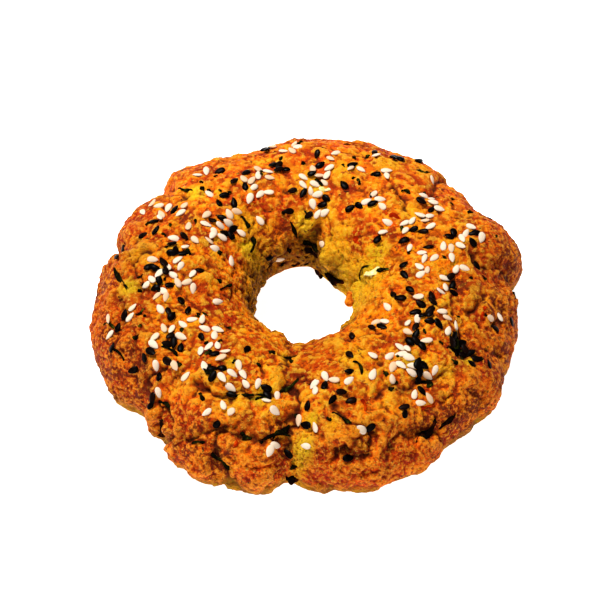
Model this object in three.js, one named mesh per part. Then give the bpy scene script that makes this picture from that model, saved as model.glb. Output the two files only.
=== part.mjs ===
// A hand-shaped savoury bagel, baked as one piece: a broad low ring of coarse dough with a ragged
// edge, a round hole through the middle and a flat underside where it lay on the tray.
//
// Millimetres, +Z up. The origin is the middle of the underside. Clock angles are in degrees,
// anticlockwise seen from above, with 0 at +X and 90 at +Y. A reach is a distance from the origin.

import * as THREE from "three";
import { ImprovedNoise } from "three/addons/math/ImprovedNoise.js";
import { mergeVertices } from "three/addons/utils/BufferGeometryUtils.js";

// Driving dimensions.
const HEIGHT = 23; // underside to the crest of the ring
const EQUATOR = 7.5; // height at which the ring is widest and the hole narrowest
const OUTER_UNDERCUT = 4.5; // how far the outer side curls in below the equator
const INNER_UNDERCUT = 3; // the same at the hole

// The outer edge at the equator, as [clock angle, reach], with one point at each lobe and notch.
const OUTER_EDGE = [
  [2, 52.5], [8, 51.6], [11.5, 54.5], [15, 56.3], [20, 55.6], [25, 53.4], [31, 51.8],
  [38, 52], [44, 52.3], [47, 53.4], [53, 53.6], [66, 52.4], [80, 53.4], [90, 52.8],
  [97, 51.2], [103, 50.3], [112, 50.2], [121, 51.8], [129, 53.8], [134, 53.4], [139, 51.2],
  [148, 52.6], [157, 52.6], [164, 50.8], [169, 53], [180, 52.5], [193, 54], [206, 53.4],
  [213, 51.4], [217, 50], [221, 51.2], [226, 50.2], [230, 53.2], [240, 53.8], [247, 54],
  [253, 52.2], [257, 52.4], [260, 52], [262.5, 49.4], [266, 49.2], [270, 50.2], [281, 51.4],
  [290, 53.4], [303, 53.8], [314, 51.5], [323, 52.9], [331, 53.2], [336, 51.6], [345, 51.9],
  [351, 52.3],
];

// The edge of the hole at the equator.
const INNER_EDGE = [
  [0, 11.5], [30, 12.2], [60, 12.5], [90, 17], [120, 16.2], [150, 14.4], [180, 13.6],
  [210, 13.5], [240, 13.1], [275, 13.3], [305, 12.7], [330, 11.8],
];

// The height of the crest, as a share of HEIGHT.
const CREST = [
  [0, 0.97], [40, 1], [80, 0.94], [120, 0.96], [160, 1], [200, 0.95], [240, 0.97],
  [265, 0.92], [285, 0.99], [320, 0.98],
];

// Folds where lumps of dough met: a line of [clock angle, reach] points, its width and its depth.
const FOLDS = [
  { name: "front", path: [[268, 33], [262, 41], [266, 50]], width: 2.6, depth: 1.2 },
  { name: "front_across", path: [[228, 46], [243, 41], [254, 35], [268, 33]], width: 2.4, depth: 0.8 },
  { name: "front_left", path: [[248, 48], [246, 56]], width: 2.6, depth: 1 },
  { name: "left_nick", path: [[222, 45], [219, 50], [217, 56]], width: 2.8, depth: 1.6 },
  { name: "small_lobe", path: [[233, 47], [227, 52], [226, 56]], width: 2.6, depth: 1 },
  { name: "right_valley", path: [[358, 37], [345, 41], [333, 45]], width: 3, depth: 1.7 },
  { name: "right_nick", path: [[0, 44], [4, 50], [7, 57]], width: 2.8, depth: 1.7 },
  { name: "front_right", path: [[284, 40], [290, 42], [298, 44], [306, 46]], width: 2.6, depth: 1.4 },
  { name: "low_right", path: [[288, 51], [296, 51], [306, 50]], width: 2.6, depth: 1.1 },
  { name: "hole_front", path: [[259, 13], [259, 20], [257, 25]], width: 2.4, depth: 0.9 },
  { name: "left_back", path: [[163, 43], [163, 56]], width: 3, depth: 1.2 },
  { name: "back_left", path: [[139, 45], [138, 56]], width: 2.6, depth: 1.1 },
];

// Lumps that stand proud of the ring: clock angle, reach, radius and rise.
const LUMPS = [
  { name: "front_left", clock: 250, reach: 46, radius: 9, rise: 1.1 },
  { name: "front_right", clock: 281, reach: 46, radius: 9, rise: 1.3 },
  { name: "right_lobe", clock: 14, reach: 49, radius: 9, rise: 1.4 },
  { name: "small_lobe", clock: 222, reach: 50, radius: 4, rise: 1 },
  { name: "back", clock: 62, reach: 42, radius: 12, rise: 1 },
  { name: "left", clock: 190, reach: 40, radius: 12, rise: 0.8 },
];

// The general unevenness of hand-pressed dough: the size of its swells and how far they rise.
const SWELLS = [
  { size: 17, rise: 0.9 },
  { size: 8, rise: 0.6 },
  { size: 5.5, rise: 0.3 },
];

// Facets of the solid.
const STEPS_AROUND = 168;
const STEPS_OVER = 20;
const STEPS_UNDER = 4;
const STEPS_BASE = 2;

const TOP_FULLNESS = 2.1; // over 2 makes the section broader than an ellipse
const BASE_FADE = 4; // height over which lumps and folds die out towards the flat underside
const CRUST_COLOUR = 0xd9791c;

const noise = new ImprovedNoise();

// A point on the plan from its clock angle and reach.
function planPoint([clock, reach]) {
  const angle = THREE.MathUtils.degToRad(clock);
  return new THREE.Vector2(reach * Math.cos(angle), reach * Math.sin(angle));
}

// The value at a clock angle of a closed smooth curve through [clock angle, value] points.
function aroundRing(points, clock) {
  const count = points.length;
  const at = (i) => points[((i % count) + count) % count][0] + 360 * Math.floor(i / count);
  const value = (i) => points[((i % count) + count) % count][1];
  const slope = (i) => (value(i + 1) - value(i - 1)) / (at(i + 1) - at(i - 1));
  const turned = THREE.MathUtils.euclideanModulo(clock - points[0][0], 360) + points[0][0];
  let i = 0;
  while (i < count - 1 && at(i + 1) <= turned) i += 1;
  const span = at(i + 1) - at(i);
  const t = (turned - at(i)) / span;
  const rest = 1 - t;
  return (
    value(i) * (1 + 2 * t) * rest * rest +
    value(i + 1) * t * t * (3 - 2 * t) +
    span * (slope(i) * t * rest * rest - slope(i + 1) * t * t * rest)
  );
}

// The section of the ring as (share across from hole to outer edge, height share) points that
// close on themselves, from the outer foot over the crest to the inner foot and back below.
function sectionProfile(ringWidth) {
  const outerFoot = 1 - OUTER_UNDERCUT / ringWidth;
  const innerFoot = INNER_UNDERCUT / ringWidth;
  const waist = EQUATOR / HEIGHT;
  const points = [];
  for (let i = 0; i < STEPS_UNDER; i += 1) {
    const angle = (Math.PI / 2) * (i / STEPS_UNDER);
    points.push([outerFoot + (1 - outerFoot) * Math.sin(angle), waist * (1 - Math.cos(angle))]);
  }
  for (let i = 0; i <= STEPS_OVER; i += 1) {
    const angle = Math.PI * (i / STEPS_OVER);
    const across = Math.sign(Math.cos(angle)) * Math.abs(Math.cos(angle)) ** (2 / TOP_FULLNESS);
    const up = Math.sin(angle) ** (2 / TOP_FULLNESS);
    points.push([0.5 + 0.5 * across, waist + (1 - waist) * up]);
  }
  for (let i = STEPS_UNDER - 1; i >= 0; i -= 1) {
    const angle = (Math.PI / 2) * (i / STEPS_UNDER);
    points.push([innerFoot - innerFoot * Math.sin(angle), waist * (1 - Math.cos(angle))]);
  }
  for (let i = 1; i <= STEPS_BASE; i += 1) {
    points.push([THREE.MathUtils.lerp(innerFoot, outerFoot, i / STEPS_BASE), 0]);
  }
  return points;
}

// How far a plan point is from a line of plan points.
function distanceToPath(point, path) {
  let nearest = Infinity;
  for (let i = 1; i < path.length; i += 1) {
    const along = path[i].clone().sub(path[i - 1]);
    const share = point.clone().sub(path[i - 1]).dot(along) / along.lengthSq();
    const foot = path[i - 1].clone().addScaledVector(along, THREE.MathUtils.clamp(share, 0, 1));
    nearest = Math.min(nearest, foot.distanceTo(point));
  }
  return nearest;
}

// How far the surface moves out along its normal at a place: swells and lumps, less the folds.
function relief(place) {
  const plan = new THREE.Vector2(place.x, place.y);
  let rise = 0;
  for (const swell of SWELLS) {
    rise += swell.rise * noise.noise(place.x / swell.size, place.y / swell.size, place.z / swell.size);
  }
  for (const lump of LUMPS) {
    const far = plan.distanceTo(planPoint([lump.clock, lump.reach])) / lump.radius;
    rise += lump.rise * Math.exp(-far * far);
  }
  for (const fold of FOLDS) {
    const far = distanceToPath(plan, fold.path.map(planPoint)) / fold.width;
    rise -= fold.depth * Math.exp(-far * far);
  }
  return rise * THREE.MathUtils.smoothstep(place.z, 0, BASE_FADE);
}

// A regular ring turned from the section, then drawn out to the real edges and crest.
function ringGeometry() {
  const nominalHole = 12;
  const nominalWidth = 40;
  const profile = sectionProfile(nominalWidth).map(
    ([across, up]) => new THREE.Vector2(nominalHole + across * nominalWidth, up * HEIGHT),
  );
  const turned = new THREE.LatheGeometry(profile, STEPS_AROUND).rotateX(Math.PI / 2);
  turned.deleteAttribute("normal");
  turned.deleteAttribute("uv");
  const ring = mergeVertices(turned, 1e-3);
  const places = ring.getAttribute("position");
  for (let i = 0; i < places.count; i += 1) {
    const x = places.getX(i);
    const y = places.getY(i);
    const clock = THREE.MathUtils.radToDeg(Math.atan2(y, x));
    const across = (Math.hypot(x, y) - nominalHole) / nominalWidth;
    const reach = THREE.MathUtils.lerp(aroundRing(INNER_EDGE, clock), aroundRing(OUTER_EDGE, clock), across);
    const plan = planPoint([clock, reach]);
    places.setXYZ(i, plan.x, plan.y, places.getZ(i) * aroundRing(CREST, clock));
  }
  return ring;
}

// The whole bagel as one closed surface, with its box centred over the origin.
function bagelGeometry() {
  const bagel = ringGeometry();
  bagel.computeVertexNormals();
  const places = bagel.getAttribute("position");
  const normals = bagel.getAttribute("normal");
  const place = new THREE.Vector3();
  const outward = new THREE.Vector3();
  for (let i = 0; i < places.count; i += 1) {
    place.fromBufferAttribute(places, i);
    outward.fromBufferAttribute(normals, i);
    place.addScaledVector(outward, relief(place));
    places.setXYZ(i, place.x, place.y, place.z);
  }
  bagel.computeVertexNormals();
  bagel.computeBoundingBox();
  const middle = bagel.boundingBox.getCenter(new THREE.Vector3());
  return bagel.translate(-middle.x, -middle.y, 0);
}

const crust = new THREE.MeshStandardMaterial({ color: CRUST_COLOUR, roughness: 0.8, metalness: 0 });

const bagel = new THREE.Mesh(bagelGeometry(), crust);
bagel.name = "bagel";

const part = new THREE.Group();
part.name = "savoury_bagel";
part.add(bagel);

export default part;
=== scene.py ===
"""A hand-shaped savoury bagel: coarse baked crust, sesame seeds and vegetable shreds.

Blender works in metres, +Z up. The sizes below are in millimetres, unless a comment says otherwise.
A place on the bagel is given by its clock angle, in degrees anticlockwise seen from above with 0 at
+X, and its reach, the distance from the origin, which is the middle of the underside.
"""

import itertools
import math
import random
from collections import namedtuple

import bmesh
import bpy
import numpy as np
from mathutils import Matrix, Vector
from mathutils.bvhtree import BVHTree


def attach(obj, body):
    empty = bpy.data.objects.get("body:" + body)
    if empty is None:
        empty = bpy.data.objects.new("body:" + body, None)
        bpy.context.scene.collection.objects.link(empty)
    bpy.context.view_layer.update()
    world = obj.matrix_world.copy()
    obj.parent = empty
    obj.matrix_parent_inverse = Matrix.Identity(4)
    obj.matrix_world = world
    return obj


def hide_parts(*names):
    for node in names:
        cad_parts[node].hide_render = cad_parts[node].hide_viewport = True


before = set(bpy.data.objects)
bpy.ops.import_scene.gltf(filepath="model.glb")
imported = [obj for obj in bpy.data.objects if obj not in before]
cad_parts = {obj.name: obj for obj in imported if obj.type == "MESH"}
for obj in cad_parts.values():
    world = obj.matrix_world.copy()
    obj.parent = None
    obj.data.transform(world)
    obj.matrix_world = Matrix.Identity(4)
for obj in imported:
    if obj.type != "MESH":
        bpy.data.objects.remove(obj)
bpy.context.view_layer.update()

MM = 0.001

# ---- Camera ----

CAMERA_ELEVATION = 52.8  # degrees above the horizon
CAMERA_DISTANCE = 442.0
CAMERA_LENS = 106.0
AIM_HEIGHT = 8.0
CAMERA_LEFT = 2.4  # the bagel sits a little right of and below the middle of the frame
CAMERA_UP = 1.4


def link_piece(name, data):
    """Puts a mesh, lamp or camera into the scene."""
    piece = bpy.data.objects.new(name, data)
    bpy.context.scene.collection.objects.link(piece)
    return piece


def add_camera():
    """The camera looks along +Y and down."""
    tilt = math.radians(CAMERA_ELEVATION)
    back = Vector((0, -math.cos(tilt), math.sin(tilt)))
    up = Vector((0, math.sin(tilt), math.cos(tilt)))
    place = Vector((-CAMERA_LEFT, 0, AIM_HEIGHT)) + back * CAMERA_DISTANCE + up * CAMERA_UP
    data = bpy.data.cameras.new("camera")
    data.lens = CAMERA_LENS
    data.sensor_width = 36
    data.clip_start = 0.01
    data.clip_end = 20
    camera = link_piece("camera", data)
    camera.location = place * MM
    camera.rotation_euler = (math.pi / 2 - tilt, 0, 0)
    bpy.context.scene.camera = camera


# ---- Repeatable noise over arrays of points; each use of it has a seed of its own ----

WORD = 0xFFFFFFFF  # keeps the numbers to 32 bits
CELL_FACTORS = (73856093, 19349663, 83492791)  # large odd numbers that scatter small ones well
SEED_FACTOR = 668265263
MIX_STEPS = ((15, 739982445), (12, 695872825))

# The directions from a cube's middle to the middles of its edges.
EDGES = np.array([p for p in itertools.product((-1, 0, 1), repeat=3) if p.count(0) == 1], dtype=float)


def hashed(cell, seed):
    """A repeatable 32-bit number for each whole-number cell."""
    n = (cell.astype(np.int64) * CELL_FACTORS).T
    n = (n[0] ^ n[1] ^ n[2] ^ (seed * SEED_FACTOR)) & WORD
    for shift, factor in MIX_STEPS:
        n = ((n ^ (n >> shift)) * factor) & WORD
    return n ^ (n >> 15)


def smooth_noise(points, size, seed):
    """Gradient noise from about -1 to 1, with features of that size."""
    scaled = points / size
    base = np.floor(scaled)
    part = scaled - base
    fade = part**3 * (part * (part * 6 - 15) + 10)
    total = np.zeros(len(points))
    for corner in itertools.product((0, 1), repeat=3):
        slope = EDGES[hashed(base + corner, seed) % len(EDGES)]
        weight = np.prod(np.where(np.array(corner) == 1, fade, 1 - fade), axis=1)
        total += weight * ((part - corner) * slope).sum(axis=1)
    return total


def rough_noise(points, size, seed, octaves=4):
    """Smooth noise with finer and fainter copies of itself added."""
    total = np.zeros(len(points))
    for octave in range(octaves):
        total += smooth_noise(points, size / 2**octave, seed + octave) / 2**octave
    return total


def cell_noise(points, size, seed):
    """How far the two nearest scattered dots are, in cells, and the nearest one's random number."""
    scaled = points / size
    base = np.floor(scaled)
    first = np.full(len(points), 9.0)
    second = np.full(len(points), 9.0)
    number = np.zeros(len(points), dtype=np.int64)
    for step in itertools.product((-1, 0, 1), repeat=3):
        cell = base + step
        dice = hashed(cell, seed)
        dot = np.stack([dice & 1023, (dice >> 10) & 1023, (dice >> 20) & 1023], axis=1) / 1023
        far = np.linalg.norm(cell + dot - scaled, axis=1)
        nearer = far < first
        second = np.where(nearer, first, np.minimum(second, far))
        number = np.where(nearer, dice, number)
        first = np.where(nearer, far, first)
    return first, second, (number % 997) / 997


def smooth_step(low, high, values):
    """0 below low, 1 above high and smooth between."""
    t = np.clip((values - low) / (high - low), 0, 1)
    return t * t * (3 - 2 * t)


# ---- The crust's shape ----

VOXEL = 0.44  # size of the fine mesh's faces
FACE_LIMIT = 198000
FINE_ROUNDS = 4  # rounds of smoothing that take away the grains
BROAD_ROUNDS = 30  # rounds that take away the lumps

# Cracks and folds: a line of (clock, reach), half width and depth.
CRACKS = [
    # seams and slits of the front and front left
    ([(259, 23), (258, 30), (265, 36), (264, 42)], 0.8, 1.1),
    ([(265, 38), (264, 42), (263, 46)], 1.3, 1.4),
    ([(233, 43), (243, 41), (251, 37), (257, 35), (262, 33), (266, 30)], 1.1, 1.4),
    ([(217, 45), (217, 48), (220, 50), (220, 54)], 0.9, 1.3),
    ([(223, 49), (227, 49), (230, 50), (231, 53)], 0.8, 1.9),
    ([(231, 53), (227, 54), (222, 54)], 0.7, 1.3),
    ([(230, 42), (232, 44), (233, 46)], 0.8, 1.5),
    ([(244, 50), (246, 53), (249, 54), (252, 54)], 1.4, 2.2),
    ([(238, 52), (243, 49), (250, 46), (256, 47), (260, 45)], 1.3, 1.8),
    # the valley on the right and the two lumps at the front right
    ([(358, 33), (350, 35), (343, 37), (333, 40), (328, 43)], 1.9, 1.2),
    ([(319, 43), (312, 41), (305, 41), (298, 39), (293, 39)], 1.3, 1.4),
    ([(277, 41), (282, 44), (286, 46), (288, 48)], 1.2, 1.7),
    ([(276, 49), (281, 50), (285, 49), (287, 47)], 1.3, 2.2),
    ([(290, 45), (293, 47), (292, 50), (288, 51)], 0.8, 0.6),
    ([(289, 52), (296, 50), (302, 50), (307, 51)], 1.3, 1.3),
    # nicks and ridges on the right
    ([(336, 49), (337, 56)], 1.0, 1.1),
    ([(321, 50), (323, 56)], 1.0, 1.1),
    ([(345, 41), (349, 43), (354, 44)], 1.1, 1.4),
    ([(342, 46), (348, 47), (352, 48)], 1.1, 1.3),
    # folds on the left and at the back
    ([(188, 47), (193, 46), (198, 47), (202, 49)], 0.8, 0.9),
    ([(172, 40), (178, 42), (184, 41), (190, 42)], 0.8, 0.8),
    ([(135, 36), (139, 39), (145, 40), (150, 42)], 0.8, 1.0),
    ([(70, 41), (76, 40), (83, 42), (90, 41)], 0.9, 0.8),
    ([(52, 31), (47, 33), (42, 33), (38, 31)], 0.8, 0.9),
    # nicks in the outer edge, and short creases
    ([(4, 42), (5, 48), (7, 56)], 1.4, 1.3),
    ([(168, 44), (165, 49), (163, 55)], 1.2, 1.2),
    ([(40, 40), (43, 45), (45, 54)], 1.2, 1.2),
    ([(38, 35), (31, 38), (24, 42)], 0.8, 0.7),
    ([(253, 25), (259, 23), (265, 23)], 0.8, 0.6),
    ([(199, 46), (204, 45), (210, 47), (214, 50)], 0.8, 0.8),
]

# Lumps that stand proud: clock, reach, radius and rise.
LUMPS = [
    (281, 46, 3.6, 1.2), (225, 51, 2.8, 0.6), (345, 19, 5.5, 0.7), (257, 29, 1.8, 0.7),
    (249, 50, 4.0, 0.6), (300, 44, 5.0, 0.6), (12, 48, 6.0, 0.6), (283, 20, 4.0, 0.7),
]

# Small round nubs on the steep sides: clock, reach, height, radius and rise.
NUBS = [
    (225, 52, 12, 2.6, 1.0), (92, 16, 10, 1.4, 0.7), (118, 17, 12, 1.8, 0.7), (66, 14, 11, 2.0, 0.7),
]
NUB_DEPTH = 5  # a nub moves only the points this near to it towards or away from the hole

# Pits where a shred or an air pocket left a hole: clock, reach, radius and depth.
PITS = [
    (304, 50, 2.0, 1.5), (234, 43, 1.3, 1.3), (246, 53, 1.4, 1.3), (262, 53, 1.9, 1.5),
    (229, 54, 2.0, 1.5), (231, 51, 1.4, 1.3), (329, 41, 2.2, 1.0), (6, 41, 1.5, 1.1),
    (280, 50, 1.1, 1.0), (90, 17, 1.7, 1.0),
]

# Bumps all over the crust: size, noise seed, how domed they are, the level they are measured from and
# how much one differs from the next in height.
Bumps = namedtuple("Bumps", "size seed dome level step")
CLUMPS = Bumps(6.0, 21, 0.50, 0.50, 0.40)
CRUMBLES = Bumps(2.3, 31, 0.36, 0.45, 0.30)
GRAINS = Bumps(1.15, 41, 0.34, 0.40, 0.34)


def plan_point(clock, reach):
    """The place on the plan at a clock angle and reach."""
    turn = math.radians(clock)
    return np.array([reach * math.cos(turn), reach * math.sin(turn)])


def distance_to_place(plan, clock, reach):
    """How far each plan point is from the place at a clock angle and reach."""
    return np.linalg.norm(plan - plan_point(clock, reach), axis=1)


def distance_to_line(plan, line):
    """How far each plan point is from a line of (clock, reach) points."""
    nearest = np.full(len(plan), 1e3)
    corners = [plan_point(*place) for place in line]
    for start, end in zip(corners, corners[1:]):
        along = end - start
        share = np.clip(((plan - start) @ along) / (along @ along), 0, 1)
        nearest = np.minimum(nearest, np.linalg.norm(plan - start - share[:, None] * along, axis=1))
    return nearest


def patches(points, places):
    """How strongly each point lies in soft round patches of (clock, reach, radius)."""
    total = np.zeros(len(points))
    for clock, reach, radius in places:
        far = distance_to_place(points[:, :2], clock, reach) / radius
        total = np.maximum(total, np.exp(-(far**2)))
    return total


def at_back(points):
    """How far round to the back each point is, from 0 to 1."""
    return smooth_step(0, 32, points[:, 1])


def even_mesh(node):
    """The solid's own shape as one even fine mesh."""
    mesh = node.data.copy()
    body = bmesh.new()
    body.from_mesh(mesh)
    bmesh.ops.remove_doubles(body, verts=body.verts, dist=1e-6)
    body.to_mesh(mesh)
    body.free()
    rough = link_piece("rough_crust", mesh)
    rounding = rough.modifiers.new("rounding", "SUBSURF")
    rounding.levels = 1
    rounding.render_levels = 1
    even = rough.modifiers.new("even", "REMESH")
    even.mode = "VOXEL"
    even.voxel_size = VOXEL * MM
    depsgraph = bpy.context.evaluated_depsgraph_get()
    fine = bpy.data.meshes.new_from_object(rough.evaluated_get(depsgraph))
    bpy.data.objects.remove(rough)
    return fine


def mesh_points(mesh):
    """A mesh's points in millimetres."""
    flat = np.empty(len(mesh.vertices) * 3)
    mesh.vertices.foreach_get("co", flat)
    return flat.reshape(-1, 3) / MM


def mesh_normals(mesh):
    """A mesh's point normals."""
    flat = np.empty(len(mesh.vertices) * 3, dtype=np.float32)
    mesh.vertex_normals.foreach_get("vector", flat)
    return flat.reshape(-1, 3).astype(float)


def lumpy_noise(points, size, seed):
    """Rounded lumps of that size with sharp valleys between them, from about -1 to 1."""
    return 4.4 * np.abs(smooth_noise(points, size, seed)) - 1.0


def ragged_shift(points):
    """A short random shift for each point."""
    return np.stack([smooth_noise(points, 1.8, seed) for seed in (14, 15, 16)], axis=1)


def bent_points(points):
    """The points shifted about, so that lines and lumps laid out on them come out irregular."""
    wander = np.stack([smooth_noise(points, 6, seed) for seed in (11, 12, 13)], axis=1)
    return points + wander * 2.4 + ragged_shift(points) * 0.9


def pores(points):
    """How deep in a small air hole each point lies, from 0 to 1."""
    near, _, dice = cell_noise(points, 2.6, 61)
    return np.where(dice < 0.4, np.exp(-((near / 0.18) ** 2)), 0)


def crease_strength(points):
    """How deep in a crack, pit or air hole each point lies, from 0 to 1."""
    plan = bent_points(points)[:, :2]
    total = pores(points)
    for path, width, depth in CRACKS:
        far = distance_to_line(plan, path) / (0.5 * width)
        total = np.maximum(total, min(1, 0.6 * depth) * np.exp(-(far**2)))
    for clock, reach, radius, depth in PITS:
        far = distance_to_place(plan, clock, reach) / (0.8 * radius)
        total = np.maximum(total, min(1, 0.6 * depth) * np.exp(-(far**2)))
    return total


def bump_rise(points, kind):
    """The rise of one kind of bump at each point, and how far from a seam between bumps it is."""
    near, following, dice = cell_noise(points, kind.size, kind.seed)
    return kind.dome * (kind.level - near**2) + kind.step * (dice - 0.5), following - near


def placed_relief(points, plan):
    """The rise of the cracks, pits, lumps and nubs that have places of their own."""
    move = 0
    for path, width, depth in CRACKS:
        far = distance_to_line(plan, path) / width
        move += 0.22 * depth * np.exp(-(((far - 3.0) / 1.6) ** 2))  # the lips on both sides
        move -= depth * np.exp(-far)
    for clock, reach, radius, depth in PITS:
        move -= depth * np.exp(-((distance_to_place(plan, clock, reach) / radius) ** 3))
    for clock, reach, radius, rise in LUMPS:
        move += rise * np.exp(-((distance_to_place(plan, clock, reach) / radius) ** 2))
    for clock, reach, height, radius, rise in NUBS:
        outward = plan_point(clock, 1)
        aside = points[:, 0] * outward[1] - points[:, 1] * outward[0]
        close = np.abs(points[:, :2] @ outward - reach) < NUB_DEPTH
        far = np.hypot(aside, points[:, 2] - height) / radius
        move += rise * np.exp(-(far**4)) * close
    return move


def crust_relief(points):
    """How far each point moves out, in millimetres."""
    ragged = ragged_shift(points)
    bent = bent_points(points)
    coarse = 0.85 + 0.6 * smooth_noise(points, 9, 17)
    smoother = 1 - 0.30 * at_back(points)

    move, gap = bump_rise(bent, CLUMPS)
    seams = np.exp(-(gap / 0.06)) * smooth_step(-0.15, 0.4, smooth_noise(points, 8, 22))
    crumbles, _ = bump_rise(bent, CRUMBLES)
    grains, _ = bump_rise(points + ragged * 0.3, GRAINS)
    move -= 0.15 * seams
    move += (crumbles + grains) * coarse * smoother
    move += 0.27 * lumpy_noise(bent, 5.5, 51) * coarse
    move += placed_relief(points, bent[:, :2])
    move += 0.12 * rough_noise(points, 1.5, 55, 3)
    return move - 0.7 * pores(points)


def smoothed(mesh, points, rounds):
    """The mesh's points after that many rounds of moving each to the middle of its neighbours."""
    edges = np.empty(len(mesh.edges) * 2, dtype=np.int64)
    mesh.edges.foreach_get("vertices", edges)
    ends = edges.reshape(-1, 2)
    heads = np.concatenate([ends[:, 0], ends[:, 1]])
    tails = np.concatenate([ends[:, 1], ends[:, 0]])
    count = np.bincount(heads, minlength=len(points))
    for _ in range(rounds):
        sums = [np.bincount(heads, points[tails, axis], minlength=len(points)) for axis in range(3)]
        points = np.stack(sums, axis=1) / count[:, None]
    return points


def base_relief(points):
    """The shallow unevenness of the underside, in millimetres, always upwards."""
    fine = np.clip(rough_noise(points, 2.5, 71, 3), 0, 1)
    broad = np.clip(smooth_noise(points, 9, 75), 0, 1)
    return 0.18 * fine + 0.25 * broad


# Where the crust is paler and yellower, stained green, baked darker or stained red, as soft patches
# of (clock, reach, radius) in order of clock angle.
PALE = [
    (5, 13, 7), (14, 16, 4.5), (22, 12, 7), (33, 13, 3), (35, 31, 4), (50, 45, 3.5), (54, 15, 3),
    (60, 18, 3), (60, 40, 4), (66, 16, 3.5), (75, 33, 4), (78, 22, 3.5), (93, 30, 3.5), (100, 21, 2.5),
    (132, 24, 4), (139, 38, 3.6), (144, 19, 3.5), (172, 43, 3.6), (185, 45, 3), (244, 41, 4),
    (255, 38, 3), (257, 25, 2.6), (268, 47, 3.4), (277, 44, 2.2), (290, 33, 3), (292, 28, 4.5),
    (318, 43, 2.6), (327, 45, 2), (350, 13, 6),
]
GREENISH = [
    (14, 15, 3.5), (25, 19, 3), (86, 28, 2.6), (93, 20, 3), (139, 38, 2.2), (144, 19, 3),
    (186, 44, 2.8), (237, 33, 2), (252, 38, 2.4), (268, 47, 2.9), (271, 42, 2), (311, 36, 3),
    (327, 45, 1.6),
]
TOASTED = [
    (10, 51, 5.5), (28, 52, 4), (43, 45, 3.5), (50, 12, 2.2), (80, 15, 3), (90, 51, 5), (97, 17, 5),
    (110, 18, 4.5), (120, 50, 5), (128, 17, 4.5), (150, 15, 3.5), (150, 52, 4), (153, 34, 2.5),
    (180, 52, 5.5), (197, 51, 3.5), (205, 50, 4.5), (214, 49, 5), (238, 52, 3.5), (247, 53, 3.5),
    (257, 29, 1.9), (259, 43, 2.5), (304, 49, 4.5), (312, 49, 3.5), (319, 52, 6), (330, 41, 4),
    (335, 51, 7), (351, 46, 7), (355, 37, 3.2),
]
REDDENED = [
    (33, 28, 1.6), (38, 27, 1.8), (43, 17, 2.4), (45, 26, 1.6), (50, 18, 2.2), (108, 22, 3),
    (120, 26, 4), (200, 26, 3), (215, 24, 3), (238, 33, 2), (249, 49, 2.2), (307, 46, 2.6),
    (330, 48, 3), (345, 42, 3),
]


def make_crust():
    """The bagel's crust, with the places that its material needs stored on its points."""
    mesh = even_mesh(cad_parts["bagel"])
    mesh.name = "bagel_crust"
    points = mesh_points(mesh)
    normals = mesh_normals(mesh)
    height = points[:, 2]
    reach = np.linalg.norm(points[:, :2], axis=1)

    # The relief dies out towards the tray and is stronger on the hole's wall.
    upper = smooth_step(0.2, 2.6, height)
    flat = (1 - smooth_step(0.2, 0.8, height)) * smooth_step(0.5, 0.9, -normals[:, 2])
    wall = (1 - smooth_step(15, 21, reach)) * (1 - smooth_step(11, 17, height))
    calm = 0.55 + 0.45 * smooth_step(2, 7, height)
    moved = points + normals * (crust_relief(points) * upper * (calm + 0.6 * wall))[:, None]
    moved[:, 2] += base_relief(points) * flat
    moved[:, 2] = np.maximum(moved[:, 2], 0)
    set_points(mesh, moved)

    # How far each point stands out from the smoothed surface, which the material uses for painted
    # highlights and painted shade.
    normals = mesh_normals(mesh)
    fine = ((moved - smoothed(mesh, moved, FINE_ROUNDS)) * normals).sum(axis=1)
    broad = ((moved - smoothed(mesh, moved, BROAD_ROUNDS)) * normals).sum(axis=1)

    back = at_back(points)
    right_share = np.where(points[:, 0] < 0, 1, 0.6)
    kept = {
        "pale": patches(points, PALE),
        "greenish": patches(points, GREENISH),
        "toast": patches(points, TOASTED),
        "red": patches(points, REDDENED),
        "fine_rise": np.clip(0.5 + fine / 0.3, 0, 1),
        "broad_rise": np.clip(0.5 + broad / 1.4, 0, 1),
        "wall": wall,
        # the outer sides: darker and redder, with painted highlights and shade laid as crumbs
        "side": smooth_step(38, 52, reach) * (1 - 0.5 * back),
        # the two ends, darkened as painted shade, the right one less
        "ends": smooth_step(30, 46, np.abs(points[:, 0])) * right_share,
        "back": back,
        "crease": crease_strength(points),
        "foot": smooth_step(44, 50, reach) * (1 - smooth_step(3.5, 8, height)),
        "under": flat,
    }
    for name, values in kept.items():
        store(mesh, name, values)
    crust = link_piece("bagel_crust", mesh)
    thin_out(crust)
    crust.data.shade_smooth()
    return crust


def set_points(mesh, points):
    """Moves a mesh's points; points are in millimetres."""
    mesh.vertices.foreach_set("co", (points * MM).ravel())
    mesh.update()


def thin_out(piece):
    """Merges the flattest faces until no more than FACE_LIMIT triangles are left."""
    count = sum(len(face.vertices) - 2 for face in piece.data.polygons)
    if count <= FACE_LIMIT:
        return
    thinning = piece.modifiers.new("thinning", "DECIMATE")
    thinning.ratio = FACE_LIMIT / count
    depsgraph = bpy.context.evaluated_depsgraph_get()
    thin = bpy.data.meshes.new_from_object(piece.evaluated_get(depsgraph))
    piece.modifiers.clear()
    old = piece.data
    piece.data = thin
    bpy.data.meshes.remove(old)
    thin.name = piece.name


def store(mesh, name, values):
    """Keeps one number per point under a name."""
    layer = mesh.attributes.new(name, "FLOAT", "POINT")
    layer.data.foreach_set("value", np.asarray(values, dtype=np.float32))


def make_piece(name, points, faces, tones, material):
    """A smooth piece of that material; points are in metres, and tones are one number for each."""
    mesh = bpy.data.meshes.new(name)
    mesh.from_pydata(points, [], faces)
    mesh.update()
    mesh.shade_smooth()
    store(mesh, "tone", tones)
    mesh.materials.append(material)
    return link_piece(name, mesh)


# ---- Finding the surface ----


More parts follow.
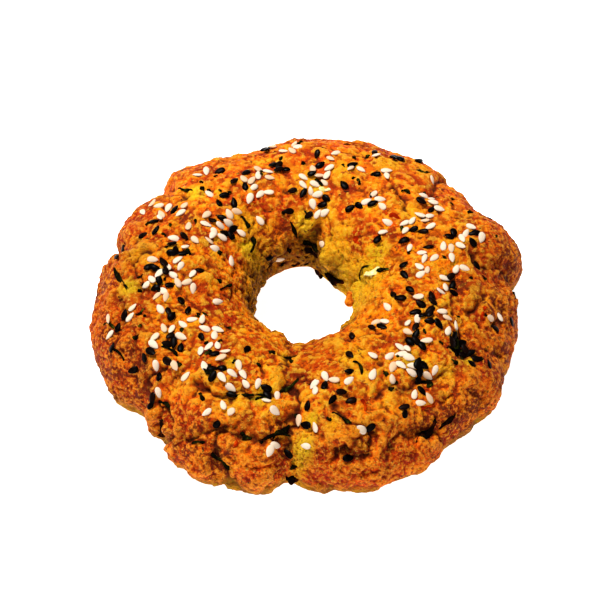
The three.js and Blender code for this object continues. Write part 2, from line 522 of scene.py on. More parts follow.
class Surface:
    """Finds places on the finished crust by rays, in millimetres."""

    def __init__(self, crust):
        mesh = crust.data
        points = mesh_points(mesh)
        faces = [tuple(face.vertices) for face in mesh.polygons]
        self.tree = BVHTree.FromPolygons([tuple(p) for p in points], faces)

    def below(self, x, y):
        """The first surface point under (x, y), or None."""
        place, _, _, _ = self.tree.ray_cast(Vector((x, y, 60)), Vector((0, 0, -1)))
        return place if place is not None and place.z > 0.5 else None

    def round_about(self, x, y, span):
        """The surface points under a ring of eight places round (x, y)."""
        turns = [i * math.pi / 4 for i in range(8)]
        found = [self.below(x + span * math.cos(turn), y + span * math.sin(turn)) for turn in turns]
        return [place for place in found if place is not None]

    def top(self, x, y, span=1.3):
        """The surface point under (x, y) and the general slope round it, or None."""
        place = self.below(x, y)
        if place is None:
            return None
        ring = [near for near in self.round_about(x, y, span) if abs(near.z - place.z) < 3 * span]
        if len(ring) < 5:  # too few for a general slope, so the face's own is used
            return place, self.tree.find_nearest(place)[1].normalized()
        normal = Vector((0, 0, 0))
        for a, b in zip(ring, ring[1:] + ring[:1]):
            normal += (a - place).cross(b - place)
        normal.normalize()
        return (place, normal) if normal.z > 0 else None

    def bumps(self, place, normal, span=1.0):
        """How far the second highest bump round a place stands above it."""
        round_about = self.round_about(place.x, place.y, span)
        heights = [0.0] + [(near - place).dot(normal) for near in round_about]
        return min(0.6, max(0.0, sorted(heights)[-2]))

    def near(self, place):
        """The surface point nearest to a place, and the general slope round it."""
        total = Vector((0, 0, 0))
        for shift in itertools.product((-0.8, 0.8), repeat=3):
            total += self.tree.find_nearest(place + Vector(shift))[1]
        return self.tree.find_nearest(place)[0], total.normalized()

    def wall(self, clock, height):
        """The hole's wall at a clock angle and height, and its slope."""
        turn = math.radians(clock)
        outward = Vector((math.cos(turn), math.sin(turn), 0))
        place, normal, _, _ = self.tree.ray_cast(Vector((-1, 0, height)), outward)
        return place, (normal - outward * 2).normalized()


# ---- Sesame seeds ----

SEED_SIDES = 12
SEED_RINGS = 10
SEED_FULLNESS = 2.3  # makes the widest part of the outline as wide as the seed
SEED_GAP = {"white": 1.3, "black": 0.8}  # least distance between the middles of two seeds
GAP_EXTRA = 0.7  # more at the first try, and less at each try after it
SEED_TRIES = 40
SINGLE_SPREAD = 0.4  # for a seed that is alone in its group
SEED_LIFT = 0.18  # of a seed's middle above the crust
PILE_LIFT = 0.28  # more for each seed within PILE_REACH, up to two
PILE_REACH = 2.0
BUMP_LIFT = 0.6  # the share of the bumps round it that a seed rides on
SEED_TILT = 0.16  # spread of the random tilts, in radians
SEED_LEAN = 0.14
WHITE_SEED = (2.85, 1.65, 0.64)  # length, width and thickness
BLACK_SEED = (2.9, 1.75, 0.72)

# Groups of seeds: clock, reach, spread, white seeds and black seeds; a seed on its own has no spread.
# They lie in a thick band round the crest, with a few strays near the edge and the hole.
SEED_GROUPS = [
    # back, from right to left
    (60, 44, 1.5, 0, 3), (66, 42, 1.2, 1, 1), (60, 36, 2, 2, 1), (70, 35, 1.6, 2, 1), (80, 39, 1, 0),
    (87, 38, 0, 1), (95, 41, 3, 4, 0), (84, 34, 2.6, 5, 1), (88, 30, 3, 5, 1), (94, 28, 3, 1, 2),
    (85, 24, 2.6, 3, 2), (90, 21, 0, 1), (73, 29, 0, 1), (61, 25, 2.2, 1, 2), (53, 27, 2.6, 3, 1),
    (104, 45, 1.6, 1, 2), (113, 49, 0, 1), (103, 35, 1.8, 0, 4), (110, 34, 2.2, 4, 0),
    (120, 33, 3, 2, 3), (118, 29, 2.4, 4, 0), (125, 40, 0, 1), (132, 41, 3, 2, 0), (136, 35, 1, 0),
    (134, 29, 3, 2, 3), (146, 28, 2.2, 5, 2), (147, 24, 1.9, 2, 3), (124, 22, 1, 0), (104, 23, 0, 1),
    # left
    (151, 44, 3.6, 5, 0), (149, 38, 2, 2, 1), (161, 41, 3, 1, 3), (163, 49, 0, 1), (172, 48, 0, 1),
    (162, 32, 4, 3, 1), (169, 33, 2.6, 1, 4), (160, 26, 1.5, 3, 0), (175, 32, 4, 3, 0), (180, 27, 0, 1),
    (164, 20, 1, 0), (180, 37, 2.8, 2, 3), (186, 36, 3, 5, 4), (188, 29, 2.6, 3, 0),
    (192, 37, 1.3, 2, 0), (196, 32, 0, 1), (200, 24, 1, 0), (201, 37, 1.5, 1, 2), (207, 32, 3, 3, 1),
    (208, 37, 2.4, 3, 1), (196, 48, 3, 1, 2), (195, 45, 1.3, 2, 0), (200, 51, 2.2, 1, 1),
    (217, 31, 3, 2, 1), (218, 28, 1, 0), (209, 42, 1.8, 2, 0), (215, 39, 2.2, 0, 3),
    (227, 33, 2.8, 5, 1), (238, 28, 0, 1), (211, 45, 1.2, 0, 2), (219, 44, 2.8, 2, 2), (211, 49, 0, 1),
    # front, from left to right
    (226, 42, 1, 0), (233, 38, 2.4, 2, 3), (241, 36, 3.2, 5, 0), (222, 50, 1.6, 0, 2), (222, 48, 1, 0),
    (242, 46, 3.6, 3, 1), (243, 40, 0, 1), (253, 35, 1.6, 1, 2), (257, 39, 3.4, 3, 0), (260, 47, 1, 0),
    (259, 49, 1, 0), (271, 44, 1, 0), (269, 47, 1, 0), (264, 47, 0, 1), (270, 41, 3.4, 1, 2),
    (273, 33, 2.8, 3, 1), (283, 33, 2.4, 2, 1), (290, 27, 0, 1), (299, 21, 0, 1), (281, 38, 2.6, 0, 3),
    (287, 46, 2.2, 1, 1), (280, 50, 0, 1),
    # right, from front to back
    (314, 23, 3, 2, 2), (299, 34, 3.8, 4, 0), (306, 44, 2.6, 3, 1), (298, 45, 1.2, 0, 2),
    (308, 34, 2.8, 7, 0), (319, 33, 2, 2, 4), (311, 39, 2.2, 2, 4), (326, 31, 3.4, 2, 2),
    (339, 30, 2.2, 1, 4), (333, 30, 2, 0, 3), (336, 22, 2.4, 1, 2), (346, 25, 0, 1), (333, 35, 3, 4, 1),
    (352, 33, 2.8, 3, 2), (357, 23, 0, 1), (357, 27, 1, 0), (358, 34, 0, 1), (315, 41, 1, 0),
    (329, 41, 2.2, 0, 8), (328, 47, 3, 0, 3), (345, 45, 1, 0), (349, 47, 1, 0), (343, 47, 0, 1),
    (350, 50, 0, 1), (5, 26, 3.6, 3, 1), (3, 35, 3.2, 3, 0), (5, 41, 0, 1), (12, 30, 4, 3, 1),
    (21, 27, 3.2, 2, 2), (15, 36, 3, 3, 2), (14, 41, 2, 3, 2), (36, 24, 1.8, 2, 0), (33, 20, 0, 1),
    (27, 31, 2.6, 6, 1), (34, 36, 2.8, 1, 2), (39, 38, 1.8, 3, 0), (27, 51, 0, 1), (45, 44, 1, 0),
    (54, 48, 0, 1), (77, 16, 1, 0),
]

# Strays that stuck to the hole's wall: clock, height and kind.
WALL_SEEDS = [(114, 8, "white"), (126, 11, "black"), (208, 9, "black"), (285, 8, "black")]


def seed_shape(length, width, thickness):
    """The points and faces of one flat oval seed lying along X, its pointed end at -X."""
    points = [(-length / 2, 0, 0)]
    for ring in range(1, SEED_RINGS):
        t = 0.5 - 0.5 * math.cos(math.pi * ring / SEED_RINGS)
        girth = SEED_FULLNESS * t**0.74 * (1 - t) ** 0.5
        for side in range(SEED_SIDES):
            turn = 2 * math.pi * side / SEED_SIDES
            y = 0.5 * width * girth * math.cos(turn)
            z = 0.5 * thickness * girth * math.sin(turn)
            points.append((length * (t - 0.5), y, z))
    points.append((length / 2, 0, 0))
    last = len(points) - 1
    faces = []
    for side in range(SEED_SIDES):
        beside = (side + 1) % SEED_SIDES
        faces.append((0, 1 + beside, 1 + side))
        for ring in range(SEED_RINGS - 2):
            a = 1 + ring * SEED_SIDES
            b = a + SEED_SIDES
            faces.append((a + side, a + beside, b + beside, b + side))
        a = 1 + (SEED_RINGS - 2) * SEED_SIDES
        faces.append((a + side, a + beside, last))
    return np.array(points), faces


def lying_on(place, normal, spin, tilt, lean):
    """A matrix that lays a flat thing on the surface at a place."""
    level = normal.to_track_quat("Z", "Y").to_matrix().to_4x4()
    turn = Matrix.Rotation(spin, 4, "Z") @ Matrix.Rotation(tilt, 4, "X") @ Matrix.Rotation(lean, 4, "Y")
    return Matrix.Translation(place) @ level @ turn


def free_place(surface, group, kind, taken, dice):
    """A place in a group for one more seed, clear of the ones there, and its slope, or None."""
    clock, reach, *spread, _, _ = group
    middle = plan_point(clock, reach)
    found = None
    for attempt in range(SEED_TRIES):
        loosened = attempt / SEED_TRIES
        turn = dice.uniform(0, 2 * math.pi)
        if spread:
            away = spread[0] * (1 + loosened) * math.sqrt(dice.random())
        else:
            away = SINGLE_SPREAD * dice.random()
        x = middle[0] + away * math.cos(turn)
        y = middle[1] + away * math.sin(turn)
        found = surface.top(x, y)
        gap = min((math.dist((x, y), spot) for spot in taken), default=9)
        if found is not None and gap > SEED_GAP[kind] + GAP_EXTRA * (1 - loosened):
            break
    return (x, y, *found) if found is not None else None


def seed_places(surface, dice):
    """Where every seed lies: {"white": [matrix, ...], "black": [matrix, ...]}."""
    taken = []
    places = {"white": [], "black": []}
    for group in SEED_GROUPS:
        white, black = group[-2:]
        for kind in ["black"] * black + ["white"] * white:
            found = free_place(surface, group, kind, taken, dice)
            if found is None:
                continue
            x, y, place, normal = found
            pile = sum(1 for spot in taken if math.dist((x, y), spot) < PILE_REACH)
            lift = SEED_LIFT + PILE_LIFT * min(pile, 2) + BUMP_LIFT * surface.bumps(place, normal)
            taken.append((x, y))
            spin = dice.uniform(0, 2 * math.pi)
            tilt = dice.gauss(0, SEED_TILT)
            lean = dice.gauss(0, SEED_LEAN)
            places[kind].append(lying_on(place + normal * lift, normal, spin, tilt, lean))
    for clock, height, kind in WALL_SEEDS:
        place, normal = surface.wall(clock, height)
        spin = dice.uniform(0, 6)
        tilt = dice.gauss(0, 0.1)
        places[kind].append(lying_on(place + normal * 0.1, normal, spin, tilt, 0))
    return places


def make_seeds(name, matrices, size, material, dice):
    """All the seeds of one kind as one piece, each a little different."""
    points = []
    faces = []
    tones = []
    for matrix in matrices:
        grow = dice.uniform(0.88, 1.1)
        length = size[0] * grow * dice.uniform(0.94, 1.05)
        width = size[1] * grow * dice.uniform(0.9, 1.08)
        shape, sides = seed_shape(length, width, size[2] * grow)
        bend = dice.gauss(0, 0.035)
        shape[:, 2] += bend * shape[:, 0] ** 2
        turned = shape @ np.array(matrix.to_3x3()).T + np.array(matrix.translation)
        start = len(points)
        points.extend(map(tuple, turned * MM))
        faces.extend(tuple(start + corner for corner in face) for face in sides)
        tones.extend([dice.random()] * len(turned))
    return make_piece(name, points, faces, tones, material)


# ---- Vegetable shreds ----

FLECK_COUNT = 95
SHRED_STEPS = 14
SHRED_SIDES = 8
END_SINK = 0.55  # how far a shred's ends dip into the crust
FEWEST_RINGS = 4  # a shred that finds fewer places on the crust is left out

# The line each shred follows over the crust as (clock, reach), or (clock, reach, height) on the
# steep sides, then its width, how proud it stands and, where it isn't the usual, half its thickness.
Shred = namedtuple("Shred", "path width proud thick", defaults=[0.22])
GREEN_SHREDS = [
    # left and back left
    ([(174, 49), (180, 47), (188, 44)], 1.5, 0.2), ([(139, 45), (140, 41), (138, 39)], 0.9, 0.2),
    # round the hole
    ([(134, 21), (138, 19), (146, 18)], 1.5, 0.3), ([(132, 26), (133, 23), (134, 22)], 1.4, 0.3),
    ([(104, 21), (102, 19), (100, 18)], 0.9, 0.3), ([(98, 18), (90, 18), (84, 17), (84, 15)], 1.3, 0.3),
    ([(18, 13), (22, 14), (18, 16)], 0.6, 0.25), ([(12, 16), (7, 18), (4, 20)], 1, 0.3),
    ([(192, 23), (186, 20), (181, 19)], 0.7, 0.3), ([(253, 25), (259, 24), (265, 23)], 0.6, 0.2),
    # on the lumps at the front
    ([(256, 36), (261, 33), (266, 30)], 1, 0.25),
    ([(241, 41), (246, 39), (251, 37), (256, 36)], 0.8, 0.1),
    ([(250, 39), (253, 38), (256, 37)], 1.3, 0.25), ([(289, 29), (292, 31), (290, 35)], 0.9, 0.3),
    ([(255, 47), (259, 45), (262, 43), (264, 41)], 1.2, 0.4),
    ([(259, 46), (260, 44), (265, 44)], 0.9, 0.4),
    # in the folds and the edge of the front
    ([(244, 52, 14), (246, 53, 12), (249, 54, 10)], 1.2, 0.1),
    ([(264, 49, 9), (266, 48, 10), (268, 47, 10)], 1.2, 0.3),
    ([(276, 41), (280, 43), (283, 45)], 0.9, 0.25), ([(300, 51), (303, 50), (306, 49)], 1.4, 0.1),
    ([(222, 49), (226, 48), (228, 49)], 1.2, 0.3), ([(233, 43), (235, 44), (237, 45)], 1, 0.2),
    ([(238, 53), (240, 52), (242, 51)], 0.8, 0.2),
    # on the back right, the left and the right
    ([(52, 44), (50, 44), (48, 45)], 1, 0.2), ([(48, 34), (46, 35), (43, 35)], 1, 0.3),
    ([(196, 44), (197, 43), (195, 41)], 0.7, 0.2), ([(193, 52), (195, 50), (198, 49)], 0.7, 0.15),
    ([(211, 42), (216, 40), (219, 40)], 0.9, 0.3), ([(324, 39), (328, 41), (332, 43)], 1.4, 0.3),
    ([(333, 38), (330, 40), (326, 42)], 1.3, 0.4),
    # single ones elsewhere
    ([(88, 31), (84, 29), (81, 30)], 1.4, 0.15), ([(200, 53), (205, 50), (208, 50)], 0.7, 0.15),
    ([(310, 40), (312, 42), (309, 43)], 1.4, 0.3), ([(229, 38), (232, 39), (234, 37)], 1.4, 0.35),
]
# Burnt shreds, with one dark strip that is painted shade.
BURNT_SHREDS_AND_SHADE = [
    # on the hole's back wall
    ([(77, 14, 3), (66, 12, 5), (54, 12, 6), (40, 12, 7)], 3.8, 0.4, 0.6),
    ([(84, 12, 6), (77, 12, 6), (70, 12, 6)], 1.4, 1.8, 0.5),
    ([(98, 17, 9), (90, 17, 9), (81, 15, 8)], 2.2, 0.3),
    ([(112, 17, 11), (108, 17, 10), (105, 17, 9)], 1.2, 0.1),
    ([(99, 18, 8), (96, 18, 6.5), (92, 18, 6)], 1.7, 0.1),
    ([(132, 16, 9), (128, 16, 8), (124, 16, 8)], 1.2, 0.1),
    ([(120, 17, 5), (115, 17, 5), (110, 18, 5)], 1.3, 0.05),
    # a dark strip sunk along the wall's lower edge: painted shade
    ([(107, 18, 4), (101, 18, 3.5), (95, 18, 3.5), (90, 18, 4)], 2.4, -0.02),
    # in the front edge
    ([(298, 51), (302, 50), (306, 49), (307, 49)], 1.9, 0.3),
    ([(306, 50), (310, 50), (314, 50)], 1.3, 0.3),
    ([(226, 51, 13), (228, 52, 11), (228, 53, 8), (226, 54, 6)], 1.3, 0.4),
    ([(263, 50, 6.5), (265, 50, 6), (267, 50, 6)], 2.3, 0.3, 1),
]
RED_SHREDS = [
    # two by the hole on the right and five strays
    ([(54, 19), (47, 17), (39, 16)], 1.5, 0), ([(46, 26), (39, 27), (33, 28)], 1.2, 0),
    ([(249, 48), (250, 50), (249, 52)], 0.9, 0.05), ([(303, 46), (306, 46), (309, 47)], 1, 0),
    ([(287, 39), (288, 41), (287, 43)], 0.8, 0.2), ([(128, 30), (124, 27), (118, 26)], 1, 0),
    ([(342, 44), (346, 43), (350, 44)], 1, 0),
]
PALE_SHREDS = [
    # by the hole on the right, and one at the back
    ([(16, 14), (10, 15), (5, 17)], 1.9, 0.35), ([(12, 18), (9, 16), (4, 15)], 1.3, 0.4),
    ([(86, 28), (82, 27), (78, 28)], 1.1, 0.15),
]
CRUMBS = [
    # on the hole's right edge
    ([(19, 12, 8.5), (14, 12, 7), (9, 12, 5.5)], 2.5, 1.1, 1.1),
]


def small_flecks(count, dice):
    """Short dark bits of skin strewn over the top and sides."""
    flecks = []
    for _ in range(count):
        clock = dice.uniform(0, 360)
        reach = dice.triangular(19, 52, 38)
        turn = dice.uniform(0, 2 * math.pi)
        half = dice.uniform(0.5, 1.3)
        path = []
        for share in (-1, 0, 1):
            x, y = plan_point(clock, reach)
            x += share * half * math.cos(turn) + dice.gauss(0, 0.25)
            y += share * half * math.sin(turn) + dice.gauss(0, 0.25)
            path.append((math.degrees(math.atan2(y, x)), math.hypot(x, y)))
        width = dice.uniform(0.6, 1.3)
        flecks.append((path, width, dice.uniform(0, 0.2)))
    return flecks


def smooth_line(corners, steps):
    """Points along a smooth curve through the corners, by Catmull and Rom's rule."""
    padded = [corners[0] * 2 - corners[1]] + corners + [corners[-1] * 2 - corners[-2]]
    line = []
    for step in range(steps + 1):
        t = step / steps * (len(corners) - 1)
        i = min(int(t), len(corners) - 2)
        u = t - i
        a, b, c, d = padded[i:i + 4]
        second = a * 2 - b * 5 + c * 4 - d
        third = b * 3 - a - c * 3 + d
        line.append(0.5 * ((b * 2) + (c - a) * u + second * u**2 + third * u**3))
    return line


def shred_line(surface, shred):
    """The centres of a shred and the direction that it faces at each."""
    corners = []
    for place in shred.path:
        x, y = plan_point(place[0], place[1])
        corners.append(Vector((x, y, place[2] if len(place) > 2 else 0)))
    steep = len(shred.path[0]) > 2
    centres = []
    facing = []
    for place in smooth_line(corners, SHRED_STEPS):
        found = surface.near(place) if steep else surface.top(place.x, place.y, 0.9)
        if found is not None:
            centres.append(found[0])
            facing.append(found[1])
    return centres, facing


def shred_rings(centres, facing, shred, phase):
    """Rings of points round a flat strip that tapers, rolls a little and dips in at its ends."""
    count = len(centres)
    evened = []
    for i in range(count):
        near = centres[max(0, i - 2):i + 3]
        evened.append(sum(near, Vector((0, 0, 0))) / len(near))
    rings = []
    for i in range(count):
        t = i / (count - 1)
        along = (evened[min(i + 1, count - 1)] - evened[max(i - 1, 0)]).normalized()
        out = (facing[i] - along * facing[i].dot(along)).normalized()
        across = along.cross(out)
        taper = max(0.12, math.sin(math.pi * t) ** 0.5) * (1 + 0.3 * math.sin(phase + 11 * t))
        centre = evened[i] + out * (shred.proud - END_SINK * abs(2 * t - 1) ** 3)
        roll = 0.35 * math.sin(phase + 3 * t)
        for side in range(SHRED_SIDES):
            turn = 2 * math.pi * side / SHRED_SIDES
            u = 0.5 * shred.width * taper * math.cos(turn)
            v = shred.thick * taper * math.sin(turn)
            offset = across * (u * math.cos(roll) - v * math.sin(roll))
            offset += out * (u * math.sin(roll) + v * math.cos(roll))
            rings.append((centre + offset) * MM)
    return rings


def tube_faces(start, count):
    """The faces of a closed tube of count rings whose first point is number start."""
    faces = []
    for i in range(count - 1):
        a = start + i * SHRED_SIDES
        b = a + SHRED_SIDES
        for side in range(SHRED_SIDES):
            beside = (side + 1) % SHRED_SIDES
            faces.append((a + side, a + beside, b + beside, b + side))
    faces.append(tuple(start + side for side in reversed(range(SHRED_SIDES))))
    faces.append(tuple(start + (count - 1) * SHRED_SIDES + side for side in range(SHRED_SIDES)))
    return faces


def make_shreds(name, surface, shreds, material, dice):
    """Thin curved strips half sunk in the crust, as one piece."""
    points = []
    faces = []
    tones = []
    for shred in itertools.starmap(Shred, shreds):
        centres, facing = shred_line(surface, shred)
        count = len(centres)
        if count < FEWEST_RINGS:
            continue
        tone = dice.random()
        phase = dice.uniform(0, 6)
        faces += tube_faces(len(points), count)
        points += shred_rings(centres, facing, shred, phase)
        for i in range(count):
            tones += [tone * 0.4 + 0.6 * (i / (count - 1))] * SHRED_SIDES
    return make_piece(name, points, faces, tones, material)


# ---- Materials ----

# Colours are as they look on a screen, 0 to 255. The stops of a colour ramp are (position, colour).
DOUGH_TONES = [
    (0.06, (142, 34, 2)), (0.22, (218, 70, 2)), (0.44, (252, 112, 3)), (0.72, (255, 146, 6)),
    (0.96, (255, 192, 34)),
]
UNDERSIDE_TONES = [
    (0.1, (116, 54, 12)), (0.45, (184, 106, 28)), (0.7, (214, 146, 46)), (0.95, (226, 176, 80)),
]
GREEN_TONES = [(0.25, (7, 5, 3)), (0.55, (13, 12, 4)), (0.8, (32, 34, 7)), (0.98, (92, 96, 20))]
BURNT_AND_SHADE_TONES = [(0.25, (7, 4, 3)), (0.6, (20, 7, 4)), (0.95, (70, 22, 7))]
RED_TONES = [(0.15, (104, 16, 3)), (0.5, (150, 30, 3)), (0.9, (206, 70, 6))]
PALE_TONES = [(0.15, (206, 192, 92)), (0.5, (228, 216, 148)), (0.9, (240, 230, 190))]
CRUMB_TONES = [(0.15, (146, 60, 10)), (0.5, (214, 112, 20)), (0.9, (246, 156, 40))]
WHITE_COAT = ((223, 204, 182), (212, 172, 132))  # a pale seed and a tanned one
BLACK_COAT = ((3, 2, 2), (20, 7, 4))


def linear_colour(screen):
    """A screen colour as the renderer's own numbers."""
    linear = []
    for value in screen:
        share = value / 255
        linear.append(share / 12.92 if share <= 0.04045 else ((share + 0.055) / 1.055) ** 2.4)
    return (*linear, 1.0)


class Recipe:
    """A material's nodes, added one at a time."""

    def __init__(self, name):
        self.material = bpy.data.materials.new(name)
        self.material.use_nodes = True
        self.tree = self.material.node_tree
        self.shader = self.tree.nodes["Principled BSDF"]
        self.place = self.add("ShaderNodeTexCoord").outputs["Object"]
        self.base = None

    def add(self, kind, inputs=None, **settings):
        """A new node of that kind with those settings, fed with those inputs."""
        node = self.tree.nodes.new(kind)
        for name, value in settings.items():
            setattr(node, name, value)
        for key, value in (inputs or {}).items():
            self.feed(node.inputs[key], value)
        return node

    def feed(self, socket, value):
        """Links a socket to another node's output, or sets its number or its screen colour."""
        if isinstance(value, bpy.types.NodeSocket):
            self.tree.links.new(value, socket)
        else:
            socket.default_value = linear_colour(value) if isinstance(value, tuple) else value

    def noise(self, size, detail=3, roughness=0.55, distortion=0.0):
        """Soft noise with features of that size in millimetres, from 0 to 1."""
        inputs = {
            "Vector": self.place, "Scale": 1 / (size * MM), "Detail": detail,
            "Roughness": roughness, "Distortion": distortion,
        }
        return self.add("ShaderNodeTexNoise", inputs).outputs["Fac"]

    def stored(self, name):
        """A number kept on the mesh's points."""
        return self.add("ShaderNodeAttribute", attribute_name=name).outputs["Fac"]

    def span(self, value, low, high, end=1.0, start=0.0):
        """Goes smoothly from start to end as value goes from low to high."""
        inputs = {"Value": value, "From Min": low, "From Max": high, "To Min": start, "To Max": end}
        return self.add("ShaderNodeMapRange", inputs, interpolation_type="SMOOTHSTEP").outputs["Result"]

    def join(self, operation, a, b):
        """Two numbers joined by an operation, held between 0 and 1."""
        node = self.add("ShaderNodeMath", {0: a, 1: b}, operation=operation, use_clamp=True)
        return node.outputs["Value"]

    def times(self, a, b):
        """a times b."""
        return self.join("MULTIPLY", a, b)

    def plus(self, a, b):
        """a plus b, but not over 1."""
        return self.join("ADD", a, b)

    def mix(self, amount, first, second, blend="MIX"):
        """first with that amount of second laid over it; both are colours."""
        inputs = {"Factor": amount, 6: first, 7: second}  # 6 and 7 in and 2 out are the colour sockets
        return self.add("ShaderNodeMix", inputs, data_type="RGBA", blend_type=blend).outputs[2]

    def lay(self, amount, second, blend="MIX"):
        """Lays that amount of a colour over the base colour."""
        self.base = self.mix(amount, self.base, second, blend)

    def ramp(self, value, stops):
        """Colours by value."""
        node = self.add("ShaderNodeValToRGB", {"Fac": value})
        while len(node.color_ramp.elements) < len(stops):
            node.color_ramp.elements.new(0.5)
        for element, (position, tint) in zip(node.color_ramp.elements, stops):
            element.position = position
            element.color = linear_colour(tint)
        return node.outputs["Color"]

    def bump(self, height, distance, strength=1.0):
        """Roughens the surface by a height; distance is in millimetres."""
        inputs = {"Height": height, "Distance": distance * MM, "Strength": strength}
        self.feed(self.shader.inputs["Normal"], self.add("ShaderNodeBump", inputs).outputs["Normal"])

    def finish(self, roughness, gloss):
        """The finished material."""
        self.feed(self.shader.inputs["Base Color"], self.base)
        self.feed(self.shader.inputs["Roughness"], roughness)
        self.feed(self.shader.inputs["Specular IOR Level"], gloss)
        return self.material


def wall_colour(recipe, middle, grit, mottle, pale, toast):
    """The hole's wall: olive and ochre with nearly black specks; its darker tones are partly painted
    shade inside the hole.
    """
    olive = recipe.mix(recipe.span(middle, 0.42, 0.58), (244, 170, 14), (108, 68, 6))
    olive = recipe.mix(recipe.span(mottle, 0.50, 0.56, 0.9), olive, (34, 20, 3))
    scorched = recipe.mix(recipe.span(mottle, 0.44, 0.52), (158, 98, 6), (22, 13, 3))
    olive = recipe.mix(recipe.span(toast, 0.2, 0.9, 0.8), olive, scorched)
    yellow = recipe.mix(recipe.span(grit, 0.35, 0.65), (240, 164, 12), (255, 208, 40))
    return recipe.mix(recipe.span(pale, 0.2, 0.8, 0.9), olive, yellow)


def crust_material():
    """Baked dough: orange and gold, grained, with paler, redder and toasted places."""
    recipe = Recipe("baked_crust")
    lay, mix, span, times = recipe.lay, recipe.mix, recipe.span, recipe.times
    noise, stored = recipe.noise, recipe.stored

    wide = noise(13, 2)
    broad = noise(7, 2)
    dusk = noise(4.6, 3, 0.6, 0.4)
    middle = noise(2.9, 4, 0.62, 0.4)
    mottle = noise(1.5, 3, 0.62, 0.5)
    spots = noise(1.1, 2, 0.6)
    grit = noise(0.9, 4, 0.72)
    crumb = noise(0.9, 2, 0.6)
    fine = noise(0.5, 3, 0.6)
    pale = stored("pale")
    toast = stored("toast")
    side = stored("side")
    back = stored("back")
    fine_rise = stored("fine_rise")
    broad_rise = stored("broad_rise")

    # the dough's own colour, with browner and brighter drifts
    tone = recipe.plus(span(broad, 0.36, 0.64, 0.27), span(middle, 0.39, 0.61, 0.52))
    tone = recipe.plus(tone, span(grit, 0.36, 0.64, 0.21))
    recipe.base = recipe.ramp(tone, DOUGH_TONES)
    lay(span(broad, 0.47, 0.36, 0.5), (168, 56, 5))
    lay(span(dusk, 0.52, 0.63, 0.8), (150, 42, 4))
    lay(span(wide, 0.50, 0.60, 0.55), (188, 60, 4))
    lay(span(wide, 0.48, 0.38, 0.35), (255, 142, 6))

    # pale and red places
    yellow = times(pale, span(middle, 0.25, 0.6, 1.0, 0.45))
    golds = mix(span(grit, 0.35, 0.65), (238, 136, 6), (255, 192, 24))
    lay(span(yellow, 0.15, 0.8, 0.85), golds)
    red = times(stored("red"), span(fine, 0.3, 0.7, 1.0, 0.4))
    lay(span(red, 0.1, 0.8, 0.9), (176, 30, 3))

    # painted highlights on the bumps and painted shade between them
    lay(span(broad_rise, 0.56, 0.95, 0.40), (255, 172, 20))
    lay(span(fine_rise, 0.56, 0.92, 0.45), (255, 190, 46))
    lay(times(span(fine_rise, 0.38, 0.04), span(pale, 0, 1, 0.3, 0.55)), (120, 34, 3))
    lay(span(broad_rise, 0.40, 0.06, 0.90), (76, 26, 4))

    # darker round the sides and the back, and painted shade at the two ends, the left one more
    lay(times(side, span(pale, 0, 1, 0.3, 1.0)), (249, 199, 154), "MULTIPLY")
    lay(stored("ends"), (227, 218, 226), "MULTIPLY")
    lay(back, (229, 221, 206), "MULTIPLY")

    # green places
    green = times(stored("greenish"), span(grit, 0.3, 0.6, 1.0, 0.4))
    lay(span(green, 0.15, 0.8, 0.6), (226, 194, 24))

    # painted highlights and painted shade on the sides, laid as crumbs; then cracks, specks and painted
    # glints
    lay(times(side, span(crumb, 0.52, 0.64, 0.45)), (255, 172, 48))
    lay(times(side, span(crumb, 0.47, 0.36, 0.6)), (106, 28, 6))
    # darker in the cracks, pits and air holes: partly painted shade, partly browning
    lay(times(stored("crease"), span(middle, 0.62, 0.44, 0.85, 0.3)), (62, 18, 5))
    lay(times(span(mottle, 0.55, 0.62), span(middle, 0.56, 0.40, 0.9)), (134, 38, 4))
    lay(times(span(spots, 0.64, 0.70), span(broad, 0.58, 0.40, 1.0, 0.1)), (58, 18, 4))
    # painted glints on the raised grains
    painted_glint = times(span(fine, 0.56, 0.66), span(fine_rise, 0.50, 0.68))
    lay(span(painted_glint, 0, 1, 0.45), (255, 206, 84))

    # toasted places
    browned = times(toast, span(middle, 0.58, 0.40, 1.0, 0.25))
    browned = times(browned, span(grit, 0.62, 0.42, 1.0, 0.25))
    lay(span(browned, 0.10, 0.65, 0.88), mix(fine, (46, 12, 5), (134, 46, 12)))

    # the hole's wall, partly painted shade, then the foot and the underside
    wall = times(stored("wall"), span(fine, 0.2, 0.7, 0.95, 0.6))
    lay(wall, wall_colour(recipe, middle, grit, mottle, pale, toast))
    foot = times(stored("foot"), span(fine, 0.2, 0.7, 0.9, 0.5))
    lay(foot, mix(span(middle, 0.4, 0.6), (206, 146, 22), (112, 80, 12)))
    lay(stored("under"), recipe.ramp(tone, UNDERSIDE_TONES))

    recipe.bump(grit, 1.5, span(back, 0, 1, 0.48, 1.0))
    return recipe.finish(span(fine, 0.2, 0.8, 0.88, 0.60), 0.07)


def seed_material(name, coat, roughness, gloss):
    """A smooth seed coat with a faint grain, each seed a little different in tone."""
    pale, tan = coat
    recipe = Recipe(name)
    streak = recipe.noise(0.5, 2)
    recipe.base = recipe.mix(recipe.span(recipe.stored("tone"), 0.55, 1.0, 0.8), pale, tan)
    recipe.lay(recipe.span(streak, 0.3, 0.8, 0.3), tan)
    recipe.bump(streak, 0.06, 0.5)
    return recipe.finish(recipe.span(streak, 0.3, 0.7, roughness + 0.15, roughness), gloss)


def shred_material(name, stops, roughness=0.55):
    """Dried vegetable skin or flesh, or baked crumb; the burnt one also serves a strip of painted
    shade.
    """
    recipe = Recipe(name)
    mottle = recipe.noise(1.1, 3)
    along = recipe.span(recipe.stored("tone"), 0, 1, 0.3)
    recipe.base = recipe.ramp(recipe.plus(recipe.span(mottle, 0.25, 0.75, 0.7), along), stops)
    recipe.bump(recipe.noise(0.5, 3), 0.15, 0.6)
    return recipe.finish(recipe.span(mottle, 0.3, 0.7, roughness + 0.2, roughness), 0.0)


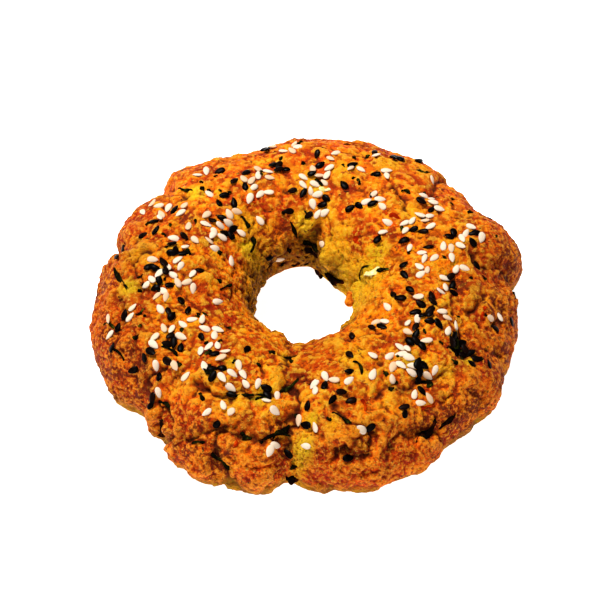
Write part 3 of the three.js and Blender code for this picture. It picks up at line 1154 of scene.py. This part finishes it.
def table_material():
    """A plain, very pale studio table."""
    recipe = Recipe("studio_table")
    recipe.shader.inputs["Emission Color"].default_value = (1, 1, 1, 1)
    recipe.shader.inputs["Emission Strength"].default_value = 0.97
    recipe.shader.inputs["Base Color"].default_value = (0.9, 0.9, 0.9, 1)
    recipe.shader.inputs["Roughness"].default_value = 0.9
    recipe.shader.inputs["Specular IOR Level"].default_value = 0.0
    return recipe.material


# ---- Studio ----

TABLE_HALF = 3.0  # half the table's width, in metres
TABLE_DROP = 0.0002  # keeps the table clear of the underside, in metres


def add_table():
    """A wide table under the bagel."""
    corners = [(x * TABLE_HALF, y * TABLE_HALF, 0) for x, y in ((-1, -1), (1, -1), (1, 1), (-1, 1))]
    mesh = bpy.data.meshes.new("table")
    mesh.from_pydata(corners, [], [(0, 1, 2, 3)])
    mesh.materials.append(table_material())
    table = link_piece("table", mesh)
    table.location.z = -TABLE_DROP


def add_light(name, place, size, power, tint):
    """A soft square lamp that faces the bagel; its place and size are in metres."""
    data = bpy.data.lights.new(name, "AREA")
    data.shape = "SQUARE"
    data.size = size
    data.energy = power
    data.color = tint
    lamp = link_piece(name, data)
    lamp.location = place
    lamp.rotation_euler = (-Vector(place)).to_track_quat("-Z", "Y").to_euler()


def add_studio():
    """Soft light from the back left, a weak fill from the front and a white room."""
    add_table()
    add_light("key", (-0.28, 0.36, 0.98), 0.16, 18.3, (1.0, 0.98, 0.95))
    add_light("fill", (-0.10, -0.95, 0.60), 0.35, 4.9, (1.0, 0.98, 0.94))
    world = bpy.data.worlds.new("room")
    world.use_nodes = True
    background = world.node_tree.nodes["Background"]
    background.inputs["Color"].default_value = (1, 1, 1, 1)
    background.inputs["Strength"].default_value = 0.06
    scene = bpy.context.scene
    scene.world = world
    scene.view_settings.view_transform = "Standard"
    scene.view_settings.look = "None"


# ---- The whole bagel ----


def build():
    """Makes every piece and lets it ride on the solid model."""
    add_camera()
    add_studio()
    crust = make_crust()
    crust.data.materials.clear()
    crust.data.materials.append(crust_material())
    surface = Surface(crust)
    places = seed_places(surface, random.Random(7))
    white_coat = seed_material("white_seed_coat", WHITE_COAT, 0.5, 0.10)
    black_coat = seed_material("black_seed_coat", BLACK_COAT, 0.26, 0.02)
    pieces = [
        crust,
        make_seeds("white_sesame_seeds", places["white"], WHITE_SEED, white_coat, random.Random(8)),
        make_seeds("black_sesame_seeds", places["black"], BLACK_SEED, black_coat, random.Random(9)),
    ]
    flecks = small_flecks(FLECK_COUNT, random.Random(11))
    shred_dice = random.Random(10)
    for name, shreds, coat, tones in (
        ("green_skin_shreds", GREEN_SHREDS + flecks, "green_skin", GREEN_TONES),
        ("burnt_shreds_and_shade", BURNT_SHREDS_AND_SHADE, "burnt_skin_and_shade", BURNT_AND_SHADE_TONES),
        ("red_shreds", RED_SHREDS, "red_flesh", RED_TONES),
        ("pale_shreds", PALE_SHREDS, "pale_flesh", PALE_TONES),
        ("loose_crumbs", CRUMBS, "baked_crumb", CRUMB_TONES),
    ):
        pieces.append(make_shreds(name, surface, shreds, shred_material(coat, tones), shred_dice))
    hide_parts("bagel")
    for piece in pieces:
        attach(piece, "root")


build()
